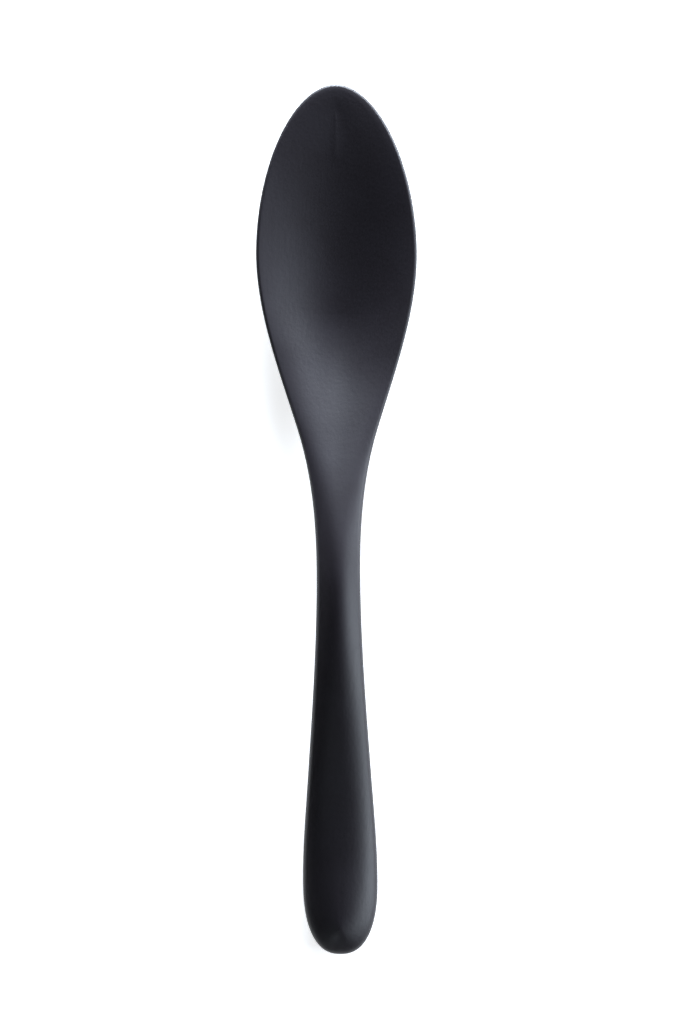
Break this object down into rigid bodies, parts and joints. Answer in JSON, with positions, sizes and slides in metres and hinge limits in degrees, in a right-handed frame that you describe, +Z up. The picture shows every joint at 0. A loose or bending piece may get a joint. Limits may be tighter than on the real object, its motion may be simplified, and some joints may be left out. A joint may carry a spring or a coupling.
{
  "type": "table spoon",
  "caption": "Slim wooden table spoon in plain satin black lacquer, with a pointed oval bowl, a narrow waist and a rounded handle that widens to its end.",
  "frame": {"origin": "under the middle of the spoon, on the surface that it lies on", "axes": "+Y from the end of the handle to the tip of the bowl, +Z up out of the open side of the bowl, +X to the right when seen from above with the tip away"},
  "size_m": [0.037, 0.2, 0.0173],
  "materials": {
    "wood": "matte",
    "black_lacquer": "satin"
  },
  "bodies": {
    "root": {"wood_core": "wood", "lacquer_coat": "black_lacquer"}
  },
  "joints": []
}
